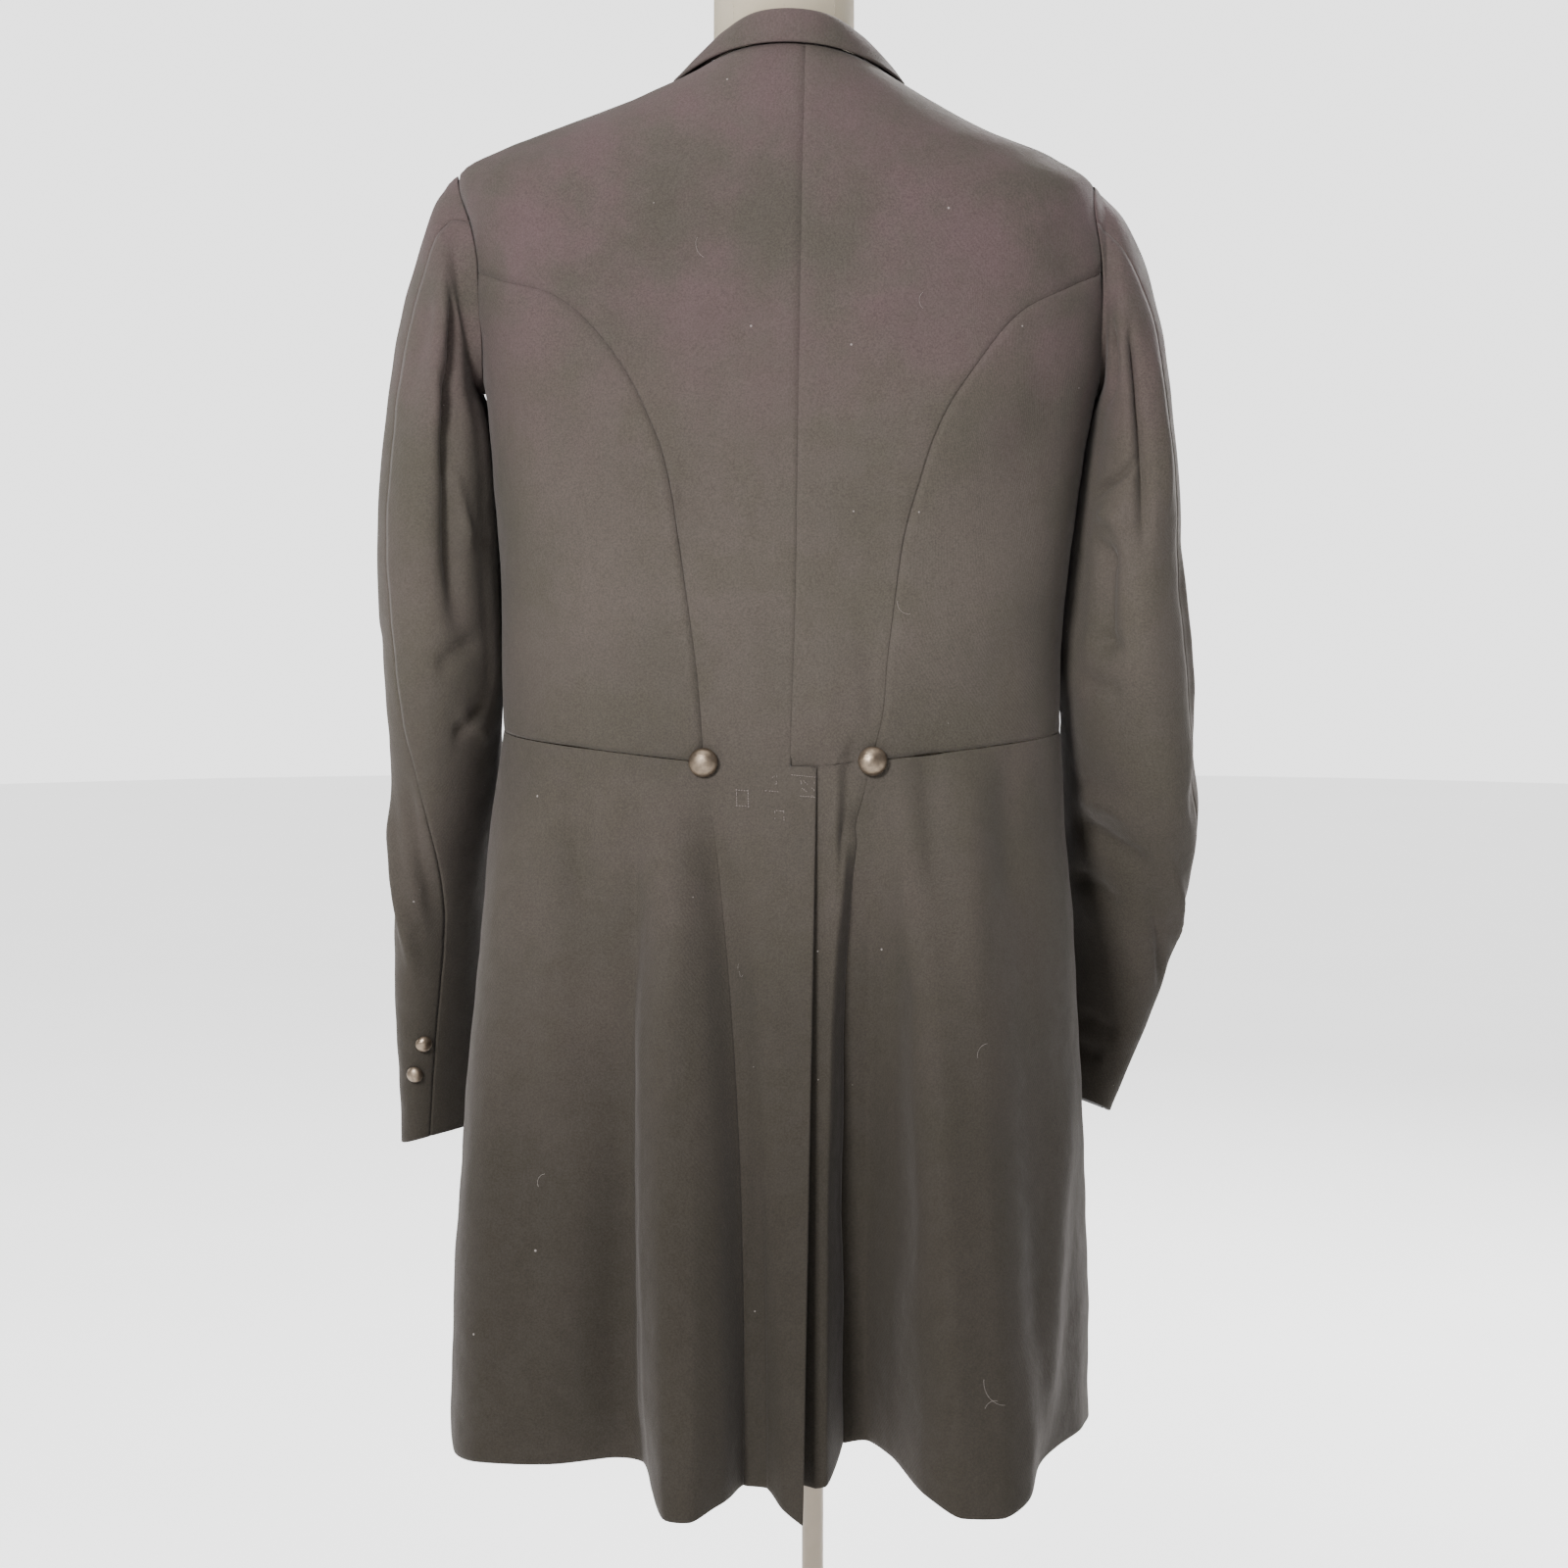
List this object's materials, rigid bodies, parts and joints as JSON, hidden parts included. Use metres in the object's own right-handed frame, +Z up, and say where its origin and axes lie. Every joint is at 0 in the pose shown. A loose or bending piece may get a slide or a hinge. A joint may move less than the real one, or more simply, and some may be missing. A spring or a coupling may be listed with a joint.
{
  "type": "frock coat on a limbless dress form",
  "caption": "Dark wool frock coat with pleated skirts, worn on a limbless dress form that stands on a pole and a round base.",
  "frame": {"origin": "centre of the base plate's underside, on the axis of the pole", "axes": "+Z up; -Y the way the wearer faces; +X towards the wearer's left"},
  "size_m": [0.5579, 0.4244, 1.5403],
  "materials": {
    "wool": "faded black fine wool broadcloth with a slight nap",
    "button_metal": "dark worn pewter-coloured metal",
    "form_cover": "cream linen cover",
    "stand_paint": "smooth cream-beige enamel"
  },
  "bodies": {
    "root": {"back_left": "wool", "back_right": "wool", "sidebody_left": "wool", "sidebody_right": "wool", "forepart_left": "wool", "forepart_right": "wool", "lapel_left": "wool", "lapel_right": "wool", "skirt_left": "wool", "skirt_right": "wool", "top_sleeve_left": "wool", "top_sleeve_right": "wool", "under_sleeve_left": "wool", "under_sleeve_right": "wool", "collar": "wool", "hip_button_left": "button_metal", "hip_button_right": "button_metal", "cuff_button_left_upper": "button_metal", "cuff_button_left_lower": "button_metal", "cuff_button_right_upper": "button_metal", "cuff_button_right_lower": "button_metal", "front_button_1": "button_metal", "front_button_2": "button_metal", "front_button_3": "button_metal", "front_button_4": "button_metal", "front_button_5": "button_metal", "form_body": "form_cover", "form_cap": "stand_paint", "form_pole": "stand_paint", "form_socket": "stand_paint", "form_base": "stand_paint"}
  },
  "joints": []
}
